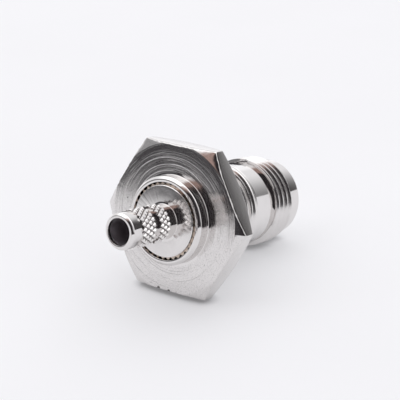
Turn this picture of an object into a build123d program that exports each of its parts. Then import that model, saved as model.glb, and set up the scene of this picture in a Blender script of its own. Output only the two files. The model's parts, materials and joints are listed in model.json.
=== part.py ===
"""Reverse polarity TNC bulkhead jack with a crimp stem for thin coaxial cable.

The connector lies on a flat of its hex flange and on its mating thread, nose down.
Stations are distances along its axis from the hex's cable-side face, positive towards the
mating end. Heights across the axis are radii.
"""

import os
from math import atan2, cos, degrees, pi, radians, sin, tan

from build123d import *

# Hex flange
hex_sides = 6
hex_across_flats = 17.46
hex_thickness = 2.67
front_circle_excess = 0.13
front_chamfer_angle = 24.0
rear_circle_inset = 0.13
rear_chamfer_angle = 30.0

# Collar on the cable side of the hex
collar_radius = 5.2
collar_height = 1.65
collar_rim_width = 0.3

# Threaded barrel, from the hex's rear face to the mouth
thread_radius = 5.47
thread_pitch = 0.907
groove_width = 0.48
groove_depth = 0.42
bulkhead_thread_length = 6.88
barrel_radius = 5.1
barrel_length = 3.22
relief_radius = 4.86
relief_length = 1.11
mating_grooves = 3
last_crest_length = 0.25
thread_lead_length = 0.5
mouth_ring_radius = 4.8
mouth_ring_length = 2.85
mouth_chamfer = 0.2
mouth_bevel = 0.3

# Bores of the body
press_bore_radius = 4.555
press_bore_depth = 3.32
insulator_bore_radius = 3.5
mating_bore_radius = 4.06
mating_bore_depth = 5.1
lip_length = 1.0
lip_height = 0.3

# Crimp stem, one turned piece with its press-fit flange
cable_bore_radius = 1.55
stem_radius = 2.1
stem_reach = 7.83
stem_wall_at_tip = 0.3
tip_bevel_length = 0.28
tip_land_length = 1.42
knurl_crest_height = 0.15
knurl_valley_depth = 0.1
knurl_count = 20
knurl_row_length = 0.545
rear_knurl_rows = 4
front_knurl_rows = 3
knurl_gap_length = 0.88
undercut_depth = 0.19
neck_radius = 2.05
disc_radius = 4.21
disc_proud = 0.11
disc_thickness = 0.45
disc_edge = 0.07
serration_count = 36
serration_depth = 0.3
serration_length = 1.6
press_clearance = 0.01

# Insulators and the centre contact
insulator_clearance = 0.02
contact_clearance = 0.02
contact_radius = 1.07
contact_collar_radius = 1.75
contact_collar_length = 0.8
contact_collar_station = 7.2
barrel_recess = 0.6
wire_bore_radius = 0.52
wire_bore_depth = 3.6
sight_hole_radius = 0.3
sight_hole_depth = 2.2
pin_radius = 0.685
pin_setback = 1.0
pin_tip_length = 0.5
pin_tip_radius = 0.25

# Stations along the axis
collar_station = -collar_height
press_floor = collar_station + press_bore_depth
thread_end = hex_thickness + bulkhead_thread_length
barrel_end = thread_end + barrel_length
mating_start = barrel_end + relief_length
ring_start = mating_start + mating_grooves * thread_pitch + last_crest_length
mouth = ring_start + mouth_ring_length
cavity_floor = mouth - mating_bore_depth
lip_station = cavity_floor - lip_length
lip_radius = insulator_bore_radius - lip_height
disc_station = collar_station - disc_proud
front_knurl_length = front_knurl_rows * knurl_row_length
rear_knurl_length = rear_knurl_rows * knurl_row_length
stem_tip = disc_station - stem_reach
tip_face_radius = cable_bore_radius + stem_wall_at_tip
rear_knurl_start = stem_tip + tip_bevel_length + tip_land_length
rear_knurl_end = rear_knurl_start + rear_knurl_length
front_knurl_start = rear_knurl_end + knurl_gap_length
front_knurl_end = front_knurl_start + front_knurl_length

# Resting pose: the hex's rear edge touches the plane, and so does whichever of the last thread
# crest and the mouth ring reaches it first as the nose goes down
flat_radius = hex_across_flats / 2
rear_circle_radius = flat_radius - rear_circle_inset
rest_station = hex_thickness - rear_circle_inset * tan(radians(rear_chamfer_angle))
ring_end = mouth - mouth_chamfer
crest_nose_down = atan2(flat_radius - thread_radius, ring_start - rest_station)
ring_nose_down = atan2(flat_radius - mouth_ring_radius, ring_end - rest_station)
nose_down = min(crest_nose_down, ring_nose_down)

# Place of station 0: the resting edge is at height 0 and the length is centred on X
tail_x = stem_tip * cos(nose_down) - tip_face_radius * sin(nose_down)
nose_x = mouth * cos(nose_down) + (mouth_ring_radius - mouth_chamfer) * sin(nose_down)
axis_height = flat_radius * cos(nose_down) + rest_station * sin(nose_down)
along = Vector(cos(nose_down), 0, -sin(nose_down))
upward = Vector(sin(nose_down), 0, cos(nose_down))
side = along.cross(upward)
zero = Vector(-(tail_x + nose_x) / 2, 0, axis_height)

axis = Axis(zero, along)
profile_plane = Plane(origin=zero, x_dir=along, z_dir=side)


def station(distance):
    """The plane across the axis at a station, with its local X pointing up."""
    return Plane(origin=zero + along * distance, x_dir=upward, z_dir=along)


def grooved_outline(first_station, grooves):
    """Points of a run of V grooves, each one pitch long, with its groove ahead of its crest."""
    points = []
    for groove in range(grooves):
        crest_end = first_station + (groove + 1) * thread_pitch
        points.append((crest_end - groove_width, thread_radius))
        points.append((crest_end - groove_width / 2, thread_radius - groove_depth))
        points.append((crest_end, thread_radius))
    return points


def knurl_band(first_station, rows):
    """Diamond knurl as one solid: crests and valleys alternate, and facets fold along the valleys."""
    half_steps = 2 * knurl_count
    crest = stem_radius + knurl_crest_height
    valley = stem_radius - knurl_valley_depth

    def point(row, step):
        angle = pi * step / knurl_count
        radius = crest if (row + step) % 2 == 0 else valley
        distance = first_station + row * knurl_row_length
        return zero + along * distance + (upward * cos(angle) + side * sin(angle)) * radius

    faces = []
    for row in range(rows):
        for step in range(half_steps):
            near, near_next = point(row, step), point(row, step + 1)
            far, far_next = point(row + 1, step), point(row + 1, step + 1)
            if (row + step) % 2 == 0:
                corners = [(near, far, near_next), (far_next, near_next, far)]
            else:
                corners = [(near, far, far_next), (near, far_next, near_next)]
            for triangle in corners:
                faces.append(Face(Wire.make_polygon(triangle)))
    for row in (0, rows):
        ring = [point(row, step) for step in range(half_steps)]
        faces.append(Face(Wire.make_polygon(ring)))
    return Solid(Shell(faces))


# Body: hex flange, collar and threaded barrel turned and milled from one bar
front_circle_radius = flat_radius + front_circle_excess
half_side_angle = pi / hex_sides
corner_radius = flat_radius / cos(half_side_angle)
front_corner_station = (corner_radius - front_circle_radius) * tan(radians(front_chamfer_angle))
rear_corner_drop = (corner_radius - rear_circle_radius) * tan(radians(rear_chamfer_angle))

with BuildPart() as body:
    with BuildSketch(station(0)):
        RegularPolygon(flat_radius, hex_sides, major_radius=False, rotation=degrees(half_side_angle))
    extrude(amount=hex_thickness)
    with BuildSketch(profile_plane):
        with BuildLine():
            Polyline(
                (0, 0),
                (0, front_circle_radius),
                (front_corner_station, corner_radius),
                (hex_thickness - rear_corner_drop, corner_radius),
                (hex_thickness, rear_circle_radius),
                (hex_thickness, 0),
                close=True,
            )
        make_face()
    revolve(axis=axis, mode=Mode.INTERSECT)
    with BuildSketch(profile_plane):
        with BuildLine():
            Polyline(
                (hex_thickness, 0),
                (collar_station, 0),
                (collar_station, collar_radius - collar_rim_width),
                (collar_station + collar_rim_width, collar_radius),
                (0, collar_radius),
                (0, thread_radius),
                *grooved_outline(hex_thickness, int(bulkhead_thread_length / thread_pitch)),
                (thread_end, thread_radius),
                (thread_end, barrel_radius),
                (barrel_end, barrel_radius),
                (barrel_end, relief_radius),
                (mating_start, relief_radius),
                (mating_start, thread_radius),
                *grooved_outline(mating_start, mating_grooves),
                (ring_start, thread_radius),
                (ring_start + thread_lead_length, mouth_ring_radius),
                (ring_end, mouth_ring_radius),
                (mouth, mouth_ring_radius - mouth_chamfer),
                (mouth, 0),
                close=True,
            )
        make_face()
    revolve(axis=axis)
    with BuildSketch(profile_plane):
        with BuildLine():
            Polyline(
                (collar_station, 0),
                (collar_station, press_bore_radius),
                (press_floor, press_bore_radius),
                (press_floor, insulator_bore_radius),
                (lip_station, insulator_bore_radius),
                (lip_station, lip_radius),
                (cavity_floor, lip_radius),
                (cavity_floor, mating_bore_radius),
                (mouth - mouth_bevel, mating_bore_radius),
                (mouth, mating_bore_radius + mouth_bevel),
                (mouth, 0),
                close=True,
            )
        make_face()
    revolve(axis=axis, mode=Mode.SUBTRACT)
body.part.label = "body"

# Crimp stem: plain tip, two knurled bands with an undercut between, neck, disc and flange
undercut_radius = stem_radius - undercut_depth
flange_radius = press_bore_radius - press_clearance
serration_root_radius = flange_radius - serration_depth
serration_start = disc_station + disc_thickness
serration_end = serration_start + serration_length
flange_end = press_floor

with BuildPart() as crimp_stem:
    with BuildSketch(profile_plane):
        with BuildLine():
            Polyline(
                (stem_tip, 0),
                (stem_tip, tip_face_radius),
                (stem_tip + tip_bevel_length, stem_radius),
                (rear_knurl_start, stem_radius),
                (rear_knurl_start, undercut_radius),
                (front_knurl_end, undercut_radius),
                (front_knurl_end, neck_radius),
                (disc_station, neck_radius),
                (disc_station, disc_radius - disc_edge),
                (disc_station + disc_edge, disc_radius),
                (serration_start, disc_radius),
                (serration_start, serration_root_radius),
                (serration_end, serration_root_radius),
                (serration_end, flange_radius),
                (flange_end, flange_radius),
                (flange_end, 0),
                close=True,
            )
        make_face()
    revolve(axis=axis)
    add(knurl_band(rear_knurl_start, rear_knurl_rows))
    add(knurl_band(front_knurl_start, front_knurl_rows))
    tooth_half_angle = pi / (2 * serration_count)
    with BuildSketch(station(serration_start)):
        with PolarLocations(0, serration_count):
            root_half_width = serration_root_radius * tan(tooth_half_angle)
            with BuildLine():
                Polyline(
                    (0, 0),
                    (serration_root_radius, -root_half_width),
                    (flange_radius, 0),
                    (serration_root_radius, root_half_width),
                    close=True,
                )
            make_face()
    extrude(amount=serration_length)
    with BuildSketch(station(stem_tip)):
        Circle(cable_bore_radius)
    extrude(amount=flange_end - stem_tip, mode=Mode.SUBTRACT)
crimp_stem.part.label = "crimp_stem"

# Rear insulator, between the stem's flange and the contact's collar, which it houses
insulator_radius = insulator_bore_radius - insulator_clearance
contact_hole_radius = contact_radius + contact_clearance
collar_pocket_radius = contact_collar_radius + contact_clearance
collar_end_station = contact_collar_station + contact_collar_length

with BuildPart() as rear_insulator:
    with BuildSketch(profile_plane):
        with BuildLine():
            Polyline(
                (flange_end, contact_hole_radius),
                (flange_end, insulator_radius),
                (collar_end_station, insulator_radius),
                (collar_end_station, collar_pocket_radius),
                (contact_collar_station, collar_pocket_radius),
                (contact_collar_station, contact_hole_radius),
                close=True,
            )
        make_face()
    revolve(axis=axis)
rear_insulator.part.label = "rear_insulator"

# Front insulator, stopped by the body's lip and flush with the mating cavity's floor
nose_radius = lip_radius - insulator_clearance

with BuildPart() as front_insulator:
    with BuildSketch(profile_plane):
        with BuildLine():
            Polyline(
                (collar_end_station, contact_hole_radius),
                (collar_end_station, insulator_radius),
                (lip_station, insulator_radius),
                (lip_station, nose_radius),
                (cavity_floor, nose_radius),
                (cavity_floor, contact_hole_radius),
                close=True,
            )
        make_face()
    revolve(axis=axis)
front_insulator.part.label = "front_insulator"

# Centre contact: wire barrel with its sight hole, retaining collar, and the male pin
contact_tail = flange_end + barrel_recess
pin_end = mouth - pin_setback

with BuildPart() as centre_contact:
    with BuildSketch(profile_plane):
        with BuildLine():
            Polyline(
                (contact_tail, wire_bore_radius),
                (contact_tail, contact_radius),
                (contact_collar_station, contact_radius),
                (contact_collar_station, contact_collar_radius),
                (collar_end_station, contact_collar_radius),
                (collar_end_station, contact_radius),
                (cavity_floor, contact_radius),
                (cavity_floor, pin_radius),
                (pin_end - pin_tip_length, pin_radius),
                (pin_end, pin_tip_radius),
                (pin_end, 0),
                (contact_tail + wire_bore_depth, 0),
                (contact_tail + wire_bore_depth, wire_bore_radius),
                close=True,
            )
        make_face()
    revolve(axis=axis)
    sight_plane = Plane(origin=station(contact_tail + sight_hole_depth).origin, z_dir=upward)
    with BuildSketch(sight_plane):
        Circle(sight_hole_radius)
    extrude(amount=contact_radius, mode=Mode.SUBTRACT)
centre_contact.part.label = "centre_contact"

os.makedirs("parts", exist_ok=True)
export_step(body.part, "parts/body.step")
export_step(crimp_stem.part, "parts/crimp_stem.step")
export_step(rear_insulator.part, "parts/rear_insulator.step")
export_step(front_insulator.part, "parts/front_insulator.step")
export_step(centre_contact.part, "parts/centre_contact.step")
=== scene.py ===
"""Looks of the reverse polarity TNC connector: turned nickel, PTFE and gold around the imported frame.

Every piece is turned about the connector's own axis. A row of a piece is a station along that axis
and a radius for each angle round it, in millimetres, and rows are joined into a closed surface.
Station 0 is the hex's cable-side face, and stations grow towards the mating end.
"""

import json
from math import atan, cos, pi, radians, sin, tan

import bmesh
import bpy
import numpy as np
from mathutils import Matrix, Vector


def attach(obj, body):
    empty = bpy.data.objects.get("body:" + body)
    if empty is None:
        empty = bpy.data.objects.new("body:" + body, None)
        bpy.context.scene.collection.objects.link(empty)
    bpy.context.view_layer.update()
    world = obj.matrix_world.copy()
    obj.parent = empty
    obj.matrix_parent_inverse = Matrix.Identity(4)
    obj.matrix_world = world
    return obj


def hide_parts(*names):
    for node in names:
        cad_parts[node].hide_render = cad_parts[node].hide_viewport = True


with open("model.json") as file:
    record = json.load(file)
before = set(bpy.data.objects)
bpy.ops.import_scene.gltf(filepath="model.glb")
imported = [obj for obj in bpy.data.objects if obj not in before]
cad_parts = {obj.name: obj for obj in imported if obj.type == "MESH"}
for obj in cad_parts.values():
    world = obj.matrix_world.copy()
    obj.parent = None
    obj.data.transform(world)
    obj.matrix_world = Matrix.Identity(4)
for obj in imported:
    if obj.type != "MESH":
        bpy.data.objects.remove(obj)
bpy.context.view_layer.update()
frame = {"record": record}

MM = 0.001
mounts = {mount["name"]: mount for mount in frame["record"]["mounts"]}

# Sizes in millimetres that the frame gives
thread_radius = mounts["mating_thread"]["dims"]["r_mm"]
bulkhead_thread_length = mounts["bulkhead_thread"]["dims"]["length_mm"]
mating_thread_length = mounts["mating_thread"]["dims"]["length_mm"]
stem_radius = mounts["stem_tip"]["dims"]["r_mm"]
tip_land_length = mounts["stem_tip"]["dims"]["length_mm"]
cable_bore_radius = mounts["cable_bore"]["dims"]["r_mm"]
pin_radius = mounts["contact_pin"]["dims"]["r_mm"]

# Hex flange and collar
hex_across_flats = 17.46
hex_thickness = 2.67
front_circle_excess = 0.13
front_chamfer_angle = radians(24)
rear_circle_inset = 0.13
rear_chamfer_angle = radians(30)
hex_corner_rounding = 0.12
hex_edge_rounding = 0.12
hex_burr = 0.08
burr_count = 230
hex_nicks = [(-171.1, 0.13), (178.8, 0.11), (-163.0, 0.06), (171.5, 0.05)]
nick_width = 0.12
nick_flank_share = 0.7
burr_seed = 7
collar_radius = 5.2
collar_height = 1.65
collar_rim_width = 0.3
collar_inner_rounding = 0.08
collar_outer_rounding = 0.12
collar_base_fillet = 0.06
face_margin = 0.3
rear_face_margin = 0.9

# Barrel, threads and mouth
thread_pitch = 0.907
thread_flank_angle = radians(30)
thread_crest_share = 0.17
thread_root_share = 0.17
thread_softness = 0.03
thread_run_in = 0.3
barrel_radius = 5.1
barrel_length = 3.22
barrel_foot_fillet = 0.03
barrel_edge_rounding = 0.05
relief_radius = 4.86
relief_length = 1.11
thread_lead_length = 0.5
mouth_ring_radius = 4.8
mouth_ring_length = 2.85
mouth_chamfer = 0.2
mouth_bevel = 0.3
mouth_outer_rounding = 0.25
mouth_inner_rounding = 0.05

# Bores of the body
press_bore_radius = 4.555
press_bore_depth = 3.32
insulator_bore_radius = 3.5
mating_bore_radius = 4.06
mating_bore_depth = 5.1
lip_length = 1.0
lip_height = 0.3
press_bore_rounding = 0.05
mating_bore_rounding = 0.08
cavity_corner_fillet = 0.1
lip_rounding = 0.04

# Crimp stem
stem_reach = 7.83
stem_wall_at_tip = 0.3
tip_bevel_length = 0.28
tip_rounding = 0.06
cable_bore_rounding = 0.04
bright_bore_length = 0.4
knurl_crest_height = 0.15
knurl_valley_depth = 0.1
knurl_count = 20
knurl_row_length = 0.545
knurl_flat_tip = 0.72
knurl_steps = 9
plain_margin = 0.05
rear_knurl_rows = 4
front_knurl_rows = 3
knurl_gap_length = 0.88
undercut_depth = 0.19
neck_radius = 2.05
neck_fillet = 0.05
neck_margin = 0.3
disc_radius = 4.21
disc_proud = 0.11
disc_thickness = 0.45
disc_edge = 0.07
disc_rounding = 0.02
serration_count = 36
serration_depth = 0.3
serration_length = 1.6
press_clearance = 0.01

# Insulators and centre contact
insulator_clearance = 0.02
contact_clearance = 0.02
contact_radius = 1.07
contact_collar_radius = 1.75
contact_collar_length = 0.8
contact_collar_station = 7.2
barrel_recess = 0.6
wire_bore_radius = 0.52
wire_bore_depth = 3.6
pin_setback = 1.0
pin_tip_length = 0.5
pin_tip_radius = 0.25
insulator_rounding = 0.1
contact_tail_rounding = 0.08
contact_collar_rounding = 0.05
contact_shoulder_rounding = 0.06
pin_foot_fillet = 0.05
pin_taper_rounding = 0.5
pin_tip_rounding = 0.12

# Fineness of the surfaces. A corner that turns less than straight_turn stays plain, an arc takes up
# at most arc_reach_share of each stretch beside it, and the shares place extra rows and columns.
straight_turn = radians(1)
arc_reach_share = 0.49
face_row_shares = (0, 0.33, 0.66)
corner_shares = (-1, -0.66, -0.33, 0, 0.33, 0.66, 1)
corner_clearing = 1.5
body_columns = 360
stem_columns = 360
insulator_columns = 144
contact_columns = 96
weld_distance = 0.0004
crease_angle = radians(38)

# Hex: half the angle of a side, the radius at its middle, and half the angle of a rounded corner
half_side = radians(30)
flat_radius = hex_across_flats / 2
half_corner = half_side - atan((flat_radius - hex_corner_rounding) / flat_radius * tan(half_side))

# Stations along the axis, and the radii that follow from other sizes
collar_station = -collar_height
press_floor = collar_station + press_bore_depth
thread_end = hex_thickness + bulkhead_thread_length
barrel_end = thread_end + barrel_length
mating_start = barrel_end + relief_length
ring_start = mating_start + mating_thread_length
mouth = ring_start + mouth_ring_length
cavity_floor = mouth - mating_bore_depth
lip_station = cavity_floor - lip_length
lip_radius = insulator_bore_radius - lip_height
disc_station = collar_station - disc_proud
stem_tip = disc_station - stem_reach
tip_face_radius = cable_bore_radius + stem_wall_at_tip
rear_knurl_start = stem_tip + tip_bevel_length + tip_land_length
rear_knurl_end = rear_knurl_start + rear_knurl_rows * knurl_row_length
front_knurl_start = rear_knurl_end + knurl_gap_length
front_knurl_end = front_knurl_start + front_knurl_rows * knurl_row_length
undercut_radius = stem_radius - undercut_depth
flange_radius = press_bore_radius - press_clearance
serration_start = disc_station + disc_thickness
serration_end = serration_start + serration_length

# The connector's own axes in the frame: along it, up across it, and to its side
along = Vector(mounts["bulkhead_thread"]["axis"]).normalized()
side = Vector((0.0, -1.0, 0.0))
upward = side.cross(along)
bulkhead_middle = hex_thickness + bulkhead_thread_length / 2
zero = Vector(mounts["bulkhead_thread"]["pos_m"]) - along * (bulkhead_middle * MM)


class Graph:
    """Short calls for making and linking the nodes of one material or world."""

    def __init__(self, tree):
        self.tree = tree
        tree.nodes.clear()

    def node(self, kind, **settings):
        made = self.tree.nodes.new(kind)
        for name, value in settings.items():
            setattr(made, name, value)
        return made

    def put(self, socket, value):
        if isinstance(value, bpy.types.NodeSocket):
            self.tree.links.new(value, socket)
        else:
            socket.default_value = value

    def math(self, operation, *values):
        made = self.node("ShaderNodeMath", operation=operation)
        for socket, value in zip(made.inputs, values):
            self.put(socket, value)
        return made.outputs[0]

    def vector(self, operation, *values):
        made = self.node("ShaderNodeVectorMath", operation=operation)
        for socket, value in zip(made.inputs, values):
            self.put(socket, value)
        return made

    def scaled(self, vector, factor):
        made = self.node("ShaderNodeVectorMath", operation="SCALE")
        self.put(made.inputs[0], vector)
        self.put(made.inputs["Scale"], factor)
        return made.outputs[0]

    def ramp(self, value, low, high, start=0.0, end=1.0):
        made = self.node("ShaderNodeMapRange", interpolation_type="SMOOTHSTEP")
        for socket, put in zip(made.inputs, (value, low, high, start, end)):
            self.put(socket, put)
        return made.outputs[0]

    def mix_colours(self, factor, first, second):
        """A mix of two colours, by the sockets' places, because both kinds of input share names."""
        made = self.node("ShaderNodeMix", data_type="RGBA")
        self.put(made.inputs[0], factor)
        self.put(made.inputs[6], first)
        self.put(made.inputs[7], second)
        return made.outputs[2]


# Materials, with the sizes of their marks in millimetres
nickel_bright = (0.79, 0.77, 0.76, 1)
nickel_dull = (0.73, 0.71, 0.7, 1)
serrated_bright = (0.62, 0.53, 0.46, 1)
serrated_dull = (0.52, 0.43, 0.36, 1)
bore_bright = (0.74, 0.7, 0.73, 1)
bore_dull = (0.66, 0.62, 0.65, 1)
gold_bright = (0.95, 0.74, 0.38, 1)
gold_dull = (0.9, 0.68, 0.32, 1)
speckle_colour = (0.2, 0.19, 0.19, 1)
pit_colour = (0.08, 0.07, 0.07, 1)
# Painted shade: the dark colour given to the bottoms of the knurl's valleys
valley_shade_colour = (0.22, 0.2, 0.2, 1)
cloud_size = 1.7
grain_size = 0.09
speckle_size = 0.11
flute_density = 9.0
uneven_pitch = 0.6
uneven_wander = 2.0
noise_span = (0.3, 0.7)
speckle_span = (0.5, 0.72)
score_span = (0.48, 0.52)
face_pits = [(6.97, -80, 0.1), (6.67, 131, 0.07), (7.6, 118, 0.05)]
edge_pits = [(8.71, -171.1, 0.27), (8.63, 178.8, 0.24), (8.6, -163.0, 0.08), (8.6, 171.5, 0.07)]

ptfe_pale = (0.93, 0.93, 0.91, 1)
ptfe_dull = (0.86, 0.86, 0.84, 1)
ptfe_cloud_size = 0.9
ptfe_roughness = (0.3, 0.42)
ptfe_translucence = 0.25
ptfe_light_depth = 0.6
ptfe_mark_pitch = 0.16
ptfe_mark_wander = 1.6
ptfe_mark_depth = 0.003


def axis_coordinates(graph):
    """Station and radius in millimetres, and the direction across the axis, at each point."""
    place = graph.node("ShaderNodeTexCoord").outputs["Object"]
    offset = graph.scaled(graph.vector("SUBTRACT", place, zero).outputs[0], 1 / MM)
    station = graph.vector("DOT_PRODUCT", offset, along).outputs["Value"]
    across = graph.vector("SUBTRACT", offset, graph.scaled(tuple(along), station)).outputs[0]
    radius = graph.vector("LENGTH", across).outputs["Value"]
    direction = graph.vector("NORMALIZE", across).outputs[0]
    return station, radius, direction, offset


def turning_noise(graph, station, radius, direction, pitch, wander, detail):
    """Noise that changes fast along the profile and slowly round the axis, as tool marks do."""
    made = graph.node("ShaderNodeTexNoise", noise_dimensions="4D")
    graph.put(made.inputs["Vector"], graph.scaled(direction, wander))
    graph.put(made.inputs["W"], graph.math("DIVIDE", graph.math("ADD", station, radius), pitch))
    made.inputs["Scale"].default_value = 1.0
    made.inputs["Detail"].default_value = detail
    return made.outputs[0]


def grain(graph, offset, size, detail=2.0):
    """Even noise of about the size given, in millimetres."""
    made = graph.node("ShaderNodeTexNoise")
    graph.put(made.inputs["Vector"], offset)
    made.inputs["Scale"].default_value = 1 / size
    made.inputs["Detail"].default_value = detail
    return made.outputs[0]


def bump(graph, height, depth_mm, normal=None):
    """A bump of the depth given, on top of an earlier one if there is one."""
    made = graph.node("ShaderNodeBump")
    made.inputs["Strength"].default_value = 1.0
    made.inputs["Distance"].default_value = depth_mm * MM
    graph.put(made.inputs["Height"], height)
    if normal is not None:
        graph.put(made.inputs["Normal"], normal)
    return made.outputs["Normal"]


def metal(
    name, roughness, rough_spread, bright=nickel_bright, dull=nickel_dull, marks=(), scores=(),
    anisotropy=0, crown=0, streaks=0, grain_depth=0, speckle=0, pits=(), shaded=None,
):
    """Plated or bare metal. marks and scores list (pitch, wander, depth) of its tool marks, in millimetres.

    Marks are rounded and scores are sharp steps. crown is how much more a faced surface leans with each
    millimetre above or below its middle, and streaks is the depth in millimetres of faint outward flutes.
    speckle is how strongly tiny dull spots darken it. pits list the place of each small pit on the hex's
    cable-side face, as a distance from the axis and an angle from the top, and its size. shaded gives two
    radii between which painted shade darkens the metal, towards the smaller one, in the knurl's valleys.
    """
    material = bpy.data.materials.new(name)
    material.use_nodes = True
    graph = Graph(material.node_tree)
    station, radius, direction, offset = axis_coordinates(graph)
    output = graph.node("ShaderNodeOutputMaterial")
    shader = graph.node("ShaderNodeBsdfPrincipled")
    shader.inputs["Metallic"].default_value = 1.0
    colour = graph.mix_colours(grain(graph, offset, cloud_size, 3.0), bright, dull)
    if speckle:
        spots = graph.ramp(grain(graph, offset, speckle_size, 1.0), *speckle_span, 0.0, speckle)
        colour = graph.mix_colours(spots, colour, speckle_colour)
    for reach, angle, size in pits:
        middle = (upward * cos(radians(angle)) + side * sin(radians(angle))) * reach
        distance = graph.vector("DISTANCE", offset, tuple(middle)).outputs["Value"]
        colour = graph.mix_colours(graph.ramp(distance, size / 2, size), pit_colour, colour)
    # Painted shade: the colour darkens towards the smaller of the two radii, into the knurl's valleys
    if shaded:
        colour = graph.mix_colours(graph.ramp(radius, *shaded), valley_shade_colour, colour)
    graph.put(shader.inputs["Base Color"], colour)
    uneven = turning_noise(graph, station, radius, direction, uneven_pitch, uneven_wander, 3.0)
    low, high = roughness - rough_spread, roughness + rough_spread
    graph.put(shader.inputs["Roughness"], graph.ramp(uneven, *noise_span, low, high))
    normal = None
    if crown:
        lift = graph.vector("DOT_PRODUCT", offset, tuple(upward)).outputs["Value"]
        bow = graph.math("MULTIPLY", graph.math("MULTIPLY", lift, lift), -crown / 2)
        normal = bump(graph, bow, 1.0)
    if streaks:
        flutes = graph.node("ShaderNodeTexNoise")
        graph.put(flutes.inputs["Vector"], direction)
        flutes.inputs["Scale"].default_value = flute_density
        flutes.inputs["Detail"].default_value = 1.0
        normal = bump(graph, flutes.outputs[0], streaks, normal)
    for pitch, wander, depth in marks:
        ridges = turning_noise(graph, station, radius, direction, pitch, wander, 2.0)
        normal = bump(graph, ridges, depth, normal)
    for pitch, wander, depth in scores:
        ridges = turning_noise(graph, station, radius, direction, pitch, wander, 1.0)
        normal = bump(graph, graph.ramp(ridges, *score_span), depth, normal)
    if grain_depth:
        normal = bump(graph, grain(graph, offset, grain_size), grain_depth, normal)
    if normal is not None:
        graph.put(shader.inputs["Normal"], normal)
    if anisotropy:
        shader.inputs["Anisotropic"].default_value = anisotropy
        tangent = graph.node("ShaderNodeTangent", direction_type="UV_MAP", uv_map="turning")
        graph.put(shader.inputs["Tangent"], tangent.outputs[0])
    graph.put(output.inputs["Surface"], shader.outputs[0])
    return material


polished = metal("polished_nickel", 0.07, 0.025, marks=[(0.22, 1.2, 0.0004)])
faced = metal(
    "faced_nickel", 0.125, 0.025,
    marks=[(0.6, 0.4, 0.006), (0.3, 0.5, 0.0045), (0.13, 0.8, 0.0025)],
    scores=[(0.9, 0.35, 0.005), (0.45, 0.5, 0.0035), (0.25, 0.7, 0.0016)],
    anisotropy=0.85, crown=0.0064, grain_depth=0.002, speckle=0.4, pits=face_pits + edge_pits,
)
lapped = metal(
    "lapped_nickel", 0.135, 0.03, marks=[(0.3, 1.2, 0.0006)],
    anisotropy=0.8, crown=0.0012, streaks=0.005,
)
chamfered = metal(
    "chamfered_nickel", 0.08, 0.025, marks=[(0.25, 1.4, 0.0012)],
    anisotropy=0.5, grain_depth=0.001, speckle=0.3, pits=edge_pits,
)
# The knurl's valleys are darkened by painted shade
knurled = metal(
    "knurled_nickel", 0.09, 0.025, marks=[(0.22, 1.2, 0.0004)],
    shaded=(stem_radius - 0.9 * knurl_valley_depth, stem_radius - 0.2 * knurl_valley_depth),
)
milled = metal("milled_nickel", 0.16, 0.03, grain_depth=0.0015)
serrated = metal(
    "serrated_nickel", 0.2, 0.04, serrated_bright, serrated_dull, marks=[(0.2, 1.5, 0.0006)],
)
threaded = metal("threaded_nickel", 0.19, 0.03, marks=[(0.2, 1.5, 0.0006)])
bored = metal("bored_nickel", 0.5, 0.08, bore_bright, bore_dull, marks=[(0.25, 1.5, 0.002)])
gilded = metal("gold_plate", 0.14, 0.04, gold_bright, gold_dull, marks=[(0.12, 1.2, 0.0006)])


def ptfe_material():
    """Waxy white PTFE, slightly translucent, with faint turning marks."""
    material = bpy.data.materials.new("waxy_ptfe")
    material.use_nodes = True
    graph = Graph(material.node_tree)
    station, radius, direction, offset = axis_coordinates(graph)
    output = graph.node("ShaderNodeOutputMaterial")
    shader = graph.node("ShaderNodeBsdfPrincipled")
    clouds = grain(graph, offset, ptfe_cloud_size, 3.0)
    graph.put(shader.inputs["Base Color"], graph.mix_colours(clouds, ptfe_pale, ptfe_dull))
    graph.put(shader.inputs["Roughness"], graph.ramp(clouds, *noise_span, *ptfe_roughness))
    shader.inputs["Subsurface Weight"].default_value = ptfe_translucence
    shader.inputs["Subsurface Radius"].default_value = [ptfe_light_depth * MM] * 3
    marks = turning_noise(graph, station, radius, direction, ptfe_mark_pitch, ptfe_mark_wander, 2.0)
    graph.put(shader.inputs["Normal"], bump(graph, marks, ptfe_mark_depth))
    graph.put(output.inputs["Surface"], shader.outputs[0])
    return material


ptfe = ptfe_material()


# Turned surfaces


def rounded(points, steps=4):
    """An open path of (station, radius, rounding) as plain points, with an arc at each rounded corner."""
    path = [points[0][:2]]
    for before, corner, after in zip(points, points[1:], points[2:]):
        here = Vector(corner[:2])
        back, ahead = Vector(before[:2]) - here, Vector(after[:2]) - here
        turn = pi - back.angle(ahead)
        if corner[2] == 0 or turn < straight_turn:
            path.append(corner[:2])
            continue
        longest = arc_reach_share * min(back.length, ahead.length)
        reach = min(corner[2] * tan(turn / 2), longest)
        radius = reach / tan(turn / 2)
        middle = here + (back.normalized() + ahead.normalized()).normalized() * (radius / cos(turn / 2))
        start, end = here + back.normalized() * reach - middle, here + ahead.normalized() * reach - middle
        for step in range(steps + 1):
            spread = turn * step / steps
            share = sin(turn - spread) / sin(turn), sin(spread) / sin(turn)
            path.append(tuple(middle + start * share[0] + end * share[1]))
    path.append(points[-1][:2])
    return path


def rows_of(points, material, steps=4):
    """Plain rows for a rounded path, all in one material."""
    return [(station, radius, material) for station, radius in rounded(points, steps)]


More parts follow.
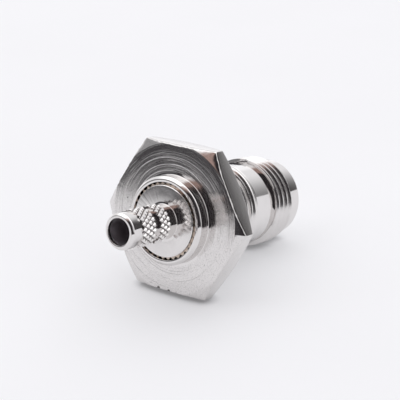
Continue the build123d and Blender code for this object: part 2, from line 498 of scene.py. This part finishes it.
def rim_rows(radius_at, circle_radius, chamfer_angle, face_station, outward, material, steps=3):
    """Rows over a hex edge from its face, through a cone chamfer, to its flats, rounded at each edge.

    outward is -1 for the cable-side face and 1 for the rear one. Where the cone misses a flat, the two
    rounded edges share one centre.
    """
    rounding = hex_edge_rounding
    face_centre = np.minimum(circle_radius - rounding * tan(chamfer_angle / 2), radius_at - rounding)
    overhang = radius_at - rounding - circle_radius
    flat_depth = (overhang * sin(chamfer_angle) + rounding) / cos(chamfer_angle)
    flat_depth = np.maximum(flat_depth, rounding)
    arcs = [
        (rounding, face_centre, 0, chamfer_angle),
        (flat_depth, radius_at - rounding, chamfer_angle, radians(90)),
    ]
    rows = []
    for centre_depth, centre_radius, start, end in arcs:
        for angle in np.linspace(start, end, steps + 1):
            depth = centre_depth - rounding * cos(angle)
            rows.append((face_station - outward * depth, centre_radius + rounding * sin(angle), material))
    return rows


def hexagon(angles):
    """Radius of the hex at each angle, with its six upright corners rounded."""
    off_corner = np.abs(angles % (2 * half_side) - half_side)
    flat = flat_radius / np.cos(half_side - off_corner)
    centre = (flat_radius - hex_corner_rounding) / cos(half_side)
    inside = np.maximum(hex_corner_rounding**2 - (centre * np.sin(off_corner)) ** 2, 0)
    round_part = centre * np.cos(off_corner) + np.sqrt(inside)
    return np.where(off_corner < half_corner, round_part, flat)


def thread_rows(angles, first, last, fade_in, fade_out, crest_end, material):
    """Rows of a right-hand 60 degree thread between two stations, following its helix.

    Each row climbs one pitch in a turn, so the last angle meets the first one a pitch further on. Rows
    beyond the thread's ends lie on its end circles. The groove fades in and out over the lengths given,
    and beyond crest_end a cone cuts the thread down to the mouth's ring.
    """
    flank_share = (1 - thread_crest_share - thread_root_share) / 2
    depth = flank_share * thread_pitch / tan(thread_flank_angle)
    corners = [0, thread_crest_share, thread_crest_share + flank_share]
    corners += [corners[-1] + thread_root_share, 1]
    phases = []
    for start, end in zip(corners, corners[1:]):
        phases += [start + thread_softness / 2, (start + end) / 2, end - thread_softness / 2]
    climb = thread_pitch * angles / (2 * pi)
    lead_slope = (thread_radius - mouth_ring_radius) / thread_lead_length
    rows = []
    turns = int(np.ceil((last - first) / thread_pitch)) + 1
    for turn in range(-1, turns):
        for phase in phases:
            station = np.clip(first + (turn + phase) * thread_pitch + climb, first, last)
            true_phase = ((station - first - climb) / thread_pitch) % 1
            height = np.interp(true_phase, corners, [0, 0, -depth, -depth, 0])
            if fade_in:
                height = height * np.clip((station - first) / fade_in, 0, 1)
            if fade_out:
                height = height * np.clip((last - station) / fade_out, 0, 1)
            lead = thread_radius - np.maximum(station - crest_end, 0) * lead_slope
            rows.append((station, np.minimum(thread_radius + height, lead), material))
    return rows


def knurl_rows(angles, first, count, material):
    """Rows of a diamond knurl: two crossing sets of V grooves, with the diamonds' tips cut flat."""
    crest = stem_radius + knurl_crest_height
    valley = stem_radius - knurl_valley_depth
    rows = []
    for step in range(count * knurl_steps + 1):
        station = first + step * knurl_row_length / knurl_steps
        row_phase = step / (2 * knurl_steps)
        turn_phase = angles * knurl_count / (2 * pi)
        left, right = turn_phase + row_phase, turn_phase - row_phase
        off = np.maximum(np.abs(left - np.round(left)), np.abs(right - np.round(right)))
        height = np.minimum((1 - 2 * off) / knurl_flat_tip, 1)
        rows.append((station, valley + (crest - valley) * height, material))
    return rows


def turned_piece(name, rows, angles, node):
    """Makes a closed surface through the rows, as a piece that stands for a CAD node."""
    stations = np.array([np.broadcast_to(row[0], angles.shape) for row in rows])
    radii = np.array([np.broadcast_to(row[1], angles.shape) for row in rows])
    stations = np.vstack([stations, stations[:1]])
    radii = np.vstack([radii, radii[:1]])
    across = np.outer(np.cos(angles), upward) + np.outer(np.sin(angles), side)
    places = np.array(zero) + MM * (stations[..., None] * np.array(along) + radii[..., None] * across)
    steps = np.hypot(np.diff(stations, axis=0), np.diff(radii, axis=0))
    lengths = np.vstack([np.zeros(angles.shape), np.cumsum(steps, axis=0)])

    materials = list(dict.fromkeys(row[2] for row in rows))
    columns = len(angles)
    mesh = bpy.data.meshes.new(name)
    faces, slots = [], []
    for i in range(len(rows)):
        index = materials.index(rows[i][2])
        for j in range(columns - 1):
            a = i * columns + j
            b, c, d = a + 1, a + columns + 1, a + columns
            level = radii[i, j], radii[i, j + 1], radii[i + 1, j + 1], radii[i + 1, j]
            if rows[i][2] is knurled:
                falling = abs(level[0] - level[2]), level[0] + level[2]
                rising = abs(level[1] - level[3]), level[1] + level[3]
                faces += [(a, b, c), (a, c, d)] if falling < rising else [(a, b, d), (b, c, d)]
                slots += [index, index]
            else:
                faces.append((a, b, c, d))
                slots.append(index)
    mesh.from_pydata(places.reshape(-1, 3).tolist(), [], faces)
    for material in materials:
        mesh.materials.append(material)
    mesh.polygons.foreach_set("material_index", slots)
    layer = mesh.uv_layers.new(name="turning")
    corners = np.zeros(len(mesh.loops), int)
    mesh.loops.foreach_get("vertex_index", corners)
    uv = np.stack([lengths.ravel()[corners], np.tile(angles / (2 * pi), len(rows) + 1)[corners]], axis=1)
    layer.data.foreach_set("uv", uv.ravel())

    edit = bmesh.new()
    edit.from_mesh(mesh)
    bmesh.ops.remove_doubles(edit, verts=edit.verts, dist=weld_distance * MM)
    bmesh.ops.recalc_face_normals(edit, faces=edit.faces)
    edit.to_mesh(mesh)
    edit.free()
    mesh.shade_smooth()
    mesh.set_sharp_from_angle(angle=crease_angle)

    piece = bpy.data.objects.new(name, mesh)
    bpy.context.scene.collection.objects.link(piece)
    weighted = piece.modifiers.new("even_shading", "WEIGHTED_NORMAL")
    weighted.keep_sharp = True
    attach(piece, "root")
    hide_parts(node)


def even_angles(count):
    """Angles round the axis from the top, the last one a full turn on from the first."""
    return np.linspace(0, 2 * pi, count + 1)


def body_angles(count):
    """Even angles with closer ones at the hex's six rounded corners."""
    angles = list(even_angles(count))
    for corner in range(6):
        middle = half_side * (2 * corner + 1)
        angles = [angle for angle in angles if abs(angle - middle) > corner_clearing * half_corner]
        angles += [middle + half_corner * share for share in corner_shares]
    return np.array(sorted(angles))


def rough_edge(angles):
    """How far the hex's front edge is worn back at each angle: a fine burr all round and a few nicks."""
    chance = np.random.default_rng(burr_seed)
    heights = chance.uniform(0, hex_burr, burr_count)
    worn = np.interp(angles, even_angles(burr_count), np.append(heights, heights[0]))
    for nick, depth in hex_nicks:
        away = (angles - radians(nick) + pi) % (2 * pi) - pi
        worn = np.maximum(worn, depth * np.exp(-((away * flat_radius / nick_width) ** 2)))
    return worn


def make_body():
    """Collar, hex and threaded barrel, from the press bore round the outside to the mating bore."""
    angles = body_angles(body_columns)
    for nick, _ in hex_nicks:
        flanks = radians(nick) + np.array([-1, 1]) * nick_flank_share * nick_width / flat_radius
        angles = np.append(angles, flanks % (2 * pi))
    angles = np.sort(angles)
    hex_radius = hexagon(angles)
    worn_radius = hex_radius - rough_edge(angles)
    front_circle = flat_radius + front_circle_excess
    rear_circle = flat_radius - rear_circle_inset
    face_start = collar_radius + face_margin
    lead_end = ring_start + thread_lead_length

    collar = [
        (press_floor, press_bore_radius, 0),
        (collar_station, press_bore_radius, press_bore_rounding),
        (collar_station, collar_radius - collar_rim_width, collar_inner_rounding),
        (collar_station + collar_rim_width, collar_radius, collar_outer_rounding),
        (0, collar_radius, collar_base_fillet),
        (0, face_start, 0),
    ]
    front = rim_rows(worn_radius, front_circle, front_chamfer_angle, 0, -1, chamfered)
    rear = rim_rows(hex_radius, rear_circle, rear_chamfer_angle, hex_thickness, 1, faced)
    barrel = [
        (thread_end, thread_radius, 0),
        (thread_end, barrel_radius, barrel_foot_fillet),
        (barrel_end, barrel_radius, barrel_edge_rounding),
        (barrel_end, relief_radius, barrel_edge_rounding),
        (mating_start, relief_radius, 0),
    ]
    mouth_and_bores = [
        (lead_end, mouth_ring_radius, 0),
        (mouth - mouth_chamfer, mouth_ring_radius, mouth_outer_rounding),
        (mouth, mouth_ring_radius - mouth_chamfer, mouth_outer_rounding),
        (mouth, mating_bore_radius + mouth_bevel, mouth_inner_rounding),
        (mouth - mouth_bevel, mating_bore_radius, mating_bore_rounding),
        (cavity_floor, mating_bore_radius, cavity_corner_fillet),
        (cavity_floor, lip_radius, lip_rounding),
        (lip_station, lip_radius, 0),
        (lip_station, insulator_bore_radius, 0),
        (press_floor, insulator_bore_radius, 0),
    ]

    rows = rows_of(collar, polished)
    rows += [(0, face_start + share * (front[0][1] - face_start), faced) for share in face_row_shares]
    rows += front
    rows += [(front[-1][0] + step * hex_edge_rounding, hex_radius, milled) for step in (1, 2)]
    rows += rear[::-1]
    rows += [(hex_thickness, thread_radius + rear_face_margin, faced)]
    rows += thread_rows(
        angles, hex_thickness, thread_end, thread_run_in, thread_pitch, thread_end, threaded
    )
    rows += rows_of(barrel, polished)
    rows += thread_rows(angles, mating_start, lead_end, 0, 0, ring_start, threaded)
    rows += rows_of(mouth_and_bores, polished, steps=6)
    turned_piece("turned_body", rows, angles, "body")


def make_stem():
    """Crimp stem: cable bore, tip, two knurled bands, neck, disc and the serrated rim behind it."""
    angles = even_angles(stem_columns)
    tooth = np.abs(((angles * serration_count / (2 * pi)) % 1) - 0.5) * 2
    serration_root = flange_radius - serration_depth
    toothed = serration_root + serration_depth * tooth
    bright_bore_end = stem_tip + bright_bore_length
    disc_face_start = neck_radius + neck_margin

    bore = [
        (press_floor, cable_bore_radius, 0),
        (bright_bore_end, cable_bore_radius, 0),
    ]
    tip = [
        (bright_bore_end, cable_bore_radius, 0),
        (stem_tip, cable_bore_radius, cable_bore_rounding),
        (stem_tip, tip_face_radius, tip_rounding),
        (stem_tip + tip_bevel_length, stem_radius, tip_rounding),
        (rear_knurl_start - plain_margin, stem_radius, 0),
        (rear_knurl_start, stem_radius, 0),
    ]
    undercut = [
        (rear_knurl_end, undercut_radius, 0),
        (rear_knurl_end + plain_margin, undercut_radius, 0),
        (front_knurl_start - plain_margin, undercut_radius, 0),
        (front_knurl_start, undercut_radius, 0),
    ]
    neck = [
        (front_knurl_end, neck_radius, 0),
        (front_knurl_end + plain_margin, neck_radius, 0),
        (disc_station, neck_radius, neck_fillet),
        (disc_station, disc_face_start, 0),
    ]
    disc = [
        (disc_station, disc_face_start, 0),
        (disc_station, disc_radius - disc_edge, disc_rounding),
        (disc_station + disc_edge, disc_radius, disc_rounding),
        (serration_start, disc_radius, 0),
    ]
    teeth = [
        (serration_start, disc_radius, serrated),
        (serration_start, toothed, serrated),
        (serration_end, toothed, serrated),
    ]
    flange = [
        (serration_end, flange_radius, 0),
        (press_floor, flange_radius, 0),
    ]

    rows = rows_of(bore, bored)
    rows += rows_of(tip, polished)
    rows += knurl_rows(angles, rear_knurl_start, rear_knurl_rows, knurled)
    rows += rows_of(undercut, polished)
    rows += knurl_rows(angles, front_knurl_start, front_knurl_rows, knurled)
    rows += rows_of(neck, polished)
    rows += rows_of(disc, lapped)
    rows += teeth
    rows += rows_of(flange, polished)
    turned_piece("turned_stem", rows, angles, "crimp_stem")


def make_insulators():
    """Two PTFE bushes that meet at the mating side of the contact's collar."""
    angles = even_angles(insulator_columns)
    insulator_radius = insulator_bore_radius - insulator_clearance
    nose_radius = lip_radius - insulator_clearance
    hole_radius = contact_radius + contact_clearance
    pocket_radius = contact_collar_radius + contact_clearance
    collar_end = contact_collar_station + contact_collar_length
    rear = [
        (press_floor, hole_radius + insulator_rounding, 0),
        (press_floor, insulator_radius, insulator_rounding),
        (collar_end, insulator_radius, 0),
        (collar_end, pocket_radius, 0),
        (contact_collar_station, pocket_radius, 0),
        (contact_collar_station, hole_radius, 0),
        (press_floor, hole_radius, insulator_rounding),
        (press_floor, hole_radius + insulator_rounding, 0),
    ]
    front = [
        (collar_end, hole_radius, 0),
        (collar_end, insulator_radius, 0),
        (lip_station, insulator_radius, insulator_rounding),
        (lip_station, nose_radius, 0),
        (cavity_floor, nose_radius, insulator_rounding),
        (cavity_floor, hole_radius, insulator_rounding),
        (collar_end, hole_radius, 0),
    ]
    turned_piece("rear_bush", rows_of(rear, ptfe), angles, "rear_insulator")
    turned_piece("front_bush", rows_of(front, ptfe), angles, "front_insulator")


def make_contact():
    """Gold-plated contact: wire barrel, collar, body and the pin with its tapered tip."""
    angles = even_angles(contact_columns)
    tail = press_floor + barrel_recess
    pin_end = mouth - pin_setback
    collar_end = contact_collar_station + contact_collar_length
    points = [
        (tail, wire_bore_radius, 0),
        (tail, contact_radius, contact_tail_rounding),
        (contact_collar_station, contact_radius, 0),
        (contact_collar_station, contact_collar_radius, contact_collar_rounding),
        (collar_end, contact_collar_radius, contact_collar_rounding),
        (collar_end, contact_radius, 0),
        (cavity_floor, contact_radius, contact_shoulder_rounding),
        (cavity_floor, pin_radius, pin_foot_fillet),
        (pin_end - pin_tip_length, pin_radius, pin_taper_rounding),
        (pin_end, pin_tip_radius, pin_tip_rounding),
        (pin_end, 0, 0),
        (tail + wire_bore_depth, 0, 0),
        (tail + wire_bore_depth, wire_bore_radius, 0),
        (tail, wire_bore_radius, 0),
    ]
    turned_piece("pin_contact", rows_of(points, gilded, steps=5), angles, "centre_contact")


make_body()
make_stem()
make_insulators()
make_contact()

# Floor
floor_radius = 400 * MM
floor_shift = 235 * MM
floor_turn = radians(50)
floor_sides = 128
paper_pale = (0.53, 0.53, 0.545, 1)
paper_paler = (0.55, 0.55, 0.565, 1)
paper_cloud_density = 40.0
paper_roughness = 0.7
paper_gloss = 0.2
# The paper glows a little, painted light that lifts its shadows, and the glow dims near the connector as a
# painted contact shadow
paper_glow_colour = (0.98, 0.98, 1.0, 1.0)
paper_glow = (0.12, 0.36)
contact_shade_reach = 1.2
contact_shade_span = (0.2, 1.0)
contact_shade_samples = 12

# Studio: brightness of its parts, and turns round the vertical and heights in degrees
backdrop_colour = (0.93, 0.93, 0.945, 1)
wall_colour = (0.96, 0.96, 0.98, 1)
ceiling_colour = (1.6, 1.6, 1.62, 1)
ceiling_heights = (28.0, 54.0)
wedge_colour = (0.075, 0.072, 0.073, 1)
wedge_turns = (26.0, 40.0, 56.0, 100.0)
wedge_heights = (25.0, 45.0)

# Areas of the studio: colour, then middle and half width of the turn and of the height, edge and boxiness
low_lamp = ((1.15, 1.15, 1.17, 1), (140, 45), (2, 12), (0.5, 1.1), 1)
small_screen = ((0.26, 0.25, 0.25, 1), (-36, 10), (2, 8), (0.4, 1.2), 1)
side_screen = ((0.37, 0.37, 0.38, 1), (-158, 16), (21, 13), (0.3, 1.2), 1)
dark_fringe = ((0.42, 0.3, 0.27, 1), (-78, 40), (26, 52), (0.5, 1.3), 2)
dark_side = ((0.032, 0.028, 0.031, 1), (-64, 35), (16, 54), (0.5, 1.2), 2)
low_screen = ((0.06, 0.057, 0.062, 1), (-108, 38), (9.1, 11), (0.3, 1.7), 2)

# Camera: its lens, and its place and directions along the connector, to its side and upward from it
camera_lens = 117
camera_sensor = 36
camera_nearest = 10
camera_farthest = 5000
camera_place = (-116.1265, 88.2019, 36.0225)
camera_forward = (0.788084, -0.573342, -0.22406)
camera_right = (0.600241, 0.796465, 0.073169)


def make_floor():
    """A round sheet of pale paper, darker where the connector keeps light from it, that glows a little and
    glows less near the connector, a painted contact shadow.
    """
    material = bpy.data.materials.new("pale_paper")
    material.use_nodes = True
    graph = Graph(material.node_tree)
    output = graph.node("ShaderNodeOutputMaterial")
    shader = graph.node("ShaderNodeBsdfPrincipled")
    place = graph.node("ShaderNodeTexCoord").outputs["Object"]
    paper = graph.node("ShaderNodeTexNoise")
    graph.put(paper.inputs["Vector"], place)
    paper.inputs["Scale"].default_value = paper_cloud_density
    colour = graph.mix_colours(paper.outputs[0], paper_pale, paper_paler)
    graph.put(shader.inputs["Base Color"], colour)
    shader.inputs["Roughness"].default_value = paper_roughness
    shader.inputs["Specular IOR Level"].default_value = paper_gloss
    shader.inputs["Emission Color"].default_value = paper_glow_colour
    # Painted contact shadow: the glow dims where the connector is within contact_shade_reach
    nearby = graph.node("ShaderNodeAmbientOcclusion", samples=contact_shade_samples)
    nearby.inputs["Distance"].default_value = contact_shade_reach * MM
    glow = graph.ramp(nearby.outputs["AO"], *contact_shade_span, *paper_glow)
    graph.put(shader.inputs["Emission Strength"], glow)
    graph.put(output.inputs["Surface"], shader.outputs[0])
    edit = bmesh.new()
    middle = Matrix.Translation((floor_shift * sin(floor_turn), -floor_shift * cos(floor_turn), 0))
    bmesh.ops.create_circle(edit, cap_ends=True, segments=floor_sides, radius=floor_radius, matrix=middle)
    mesh = bpy.data.meshes.new("floor")
    edit.to_mesh(mesh)
    edit.free()
    mesh.materials.append(material)
    floor = bpy.data.objects.new("floor", mesh)
    bpy.context.scene.collection.objects.link(floor)


def make_world():
    """A pale backdrop, and for the metal to mirror a bright studio with one dark side."""
    world = bpy.data.worlds.new("studio")
    world.use_nodes = True
    bpy.context.scene.world = world
    graph = Graph(world.node_tree)
    direction = graph.vector("NORMALIZE", graph.node("ShaderNodeTexCoord").outputs["Generated"]).outputs[0]
    parts = graph.node("ShaderNodeSeparateXYZ")
    graph.put(parts.inputs[0], direction)
    x, y, z = parts.outputs
    turn = graph.math("DEGREES", graph.math("ARCTAN2", x, graph.math("MULTIPLY", y, -1.0)))
    height = graph.math("DEGREES", graph.math("ARCSINE", z))

    def area(under, colour, turns, heights, edge, boxy):
        """One soft-edged area over what is under it.

        turns and heights each give a middle and a half width. The distances from the middles, as shares
        of the half widths, are raised to the power of twice boxy and added, and the area fades out
        between the two sums that edge gives. A higher boxy gives it straighter sides.
        """
        terms = []
        for value, (middle, half) in ((turn, turns), (height, heights)):
            share = graph.math("DIVIDE", graph.math("SUBTRACT", value, middle), half)
            terms.append(graph.math("POWER", graph.math("ABSOLUTE", share), 2.0 * boxy))
        return graph.mix_colours(graph.ramp(graph.math("ADD", *terms), *edge), colour, under)

    colour = graph.mix_colours(graph.ramp(height, *ceiling_heights), wall_colour, ceiling_colour)
    colour = area(colour, *low_lamp)
    rising = graph.ramp(turn, *wedge_turns[:2])
    falling = graph.ramp(turn, *wedge_turns[2:], 1.0, 0.0)
    wedge = graph.math("MULTIPLY", rising, falling)
    wedge = graph.math("MULTIPLY", wedge, graph.ramp(height, *wedge_heights, 1.0, 0.0))
    colour = graph.mix_colours(wedge, colour, wedge_colour)
    for screen in (small_screen, side_screen, dark_fringe, dark_side, low_screen):
        colour = area(colour, *screen)
    background = graph.node("ShaderNodeBackground")
    graph.put(background.inputs["Color"], colour)
    background.inputs["Strength"].default_value = 1.0
    backdrop = graph.node("ShaderNodeBackground")
    backdrop.inputs["Color"].default_value = backdrop_colour
    mix = graph.node("ShaderNodeMixShader")
    graph.put(mix.inputs[0], graph.node("ShaderNodeLightPath").outputs["Is Camera Ray"])
    graph.put(mix.inputs[1], background.outputs[0])
    graph.put(mix.inputs[2], backdrop.outputs[0])
    output = graph.node("ShaderNodeOutputWorld")
    graph.put(output.inputs["Surface"], mix.outputs[0])


def make_camera():
    """The photograph's view, given in the connector's own axes: along it, to its side and upward."""
    data = bpy.data.cameras.new("camera")
    data.lens = camera_lens
    data.sensor_width = camera_sensor
    data.clip_start = camera_nearest * MM
    data.clip_end = camera_farthest * MM
    camera = bpy.data.objects.new("camera", data)
    bpy.context.scene.collection.objects.link(camera)
    own_axes = Matrix((along, side, upward)).transposed()
    camera.location = zero + own_axes @ Vector(camera_place) * MM
    forward = own_axes @ Vector(camera_forward)
    right = own_axes @ Vector(camera_right)
    turned = Matrix((right, right.cross(forward), -forward)).transposed()
    camera.matrix_world = Matrix.Translation(camera.location) @ turned.to_4x4()
    bpy.context.scene.camera = camera


make_floor()
make_world()
make_camera()
bpy.context.scene.view_settings.view_transform = "Standard"
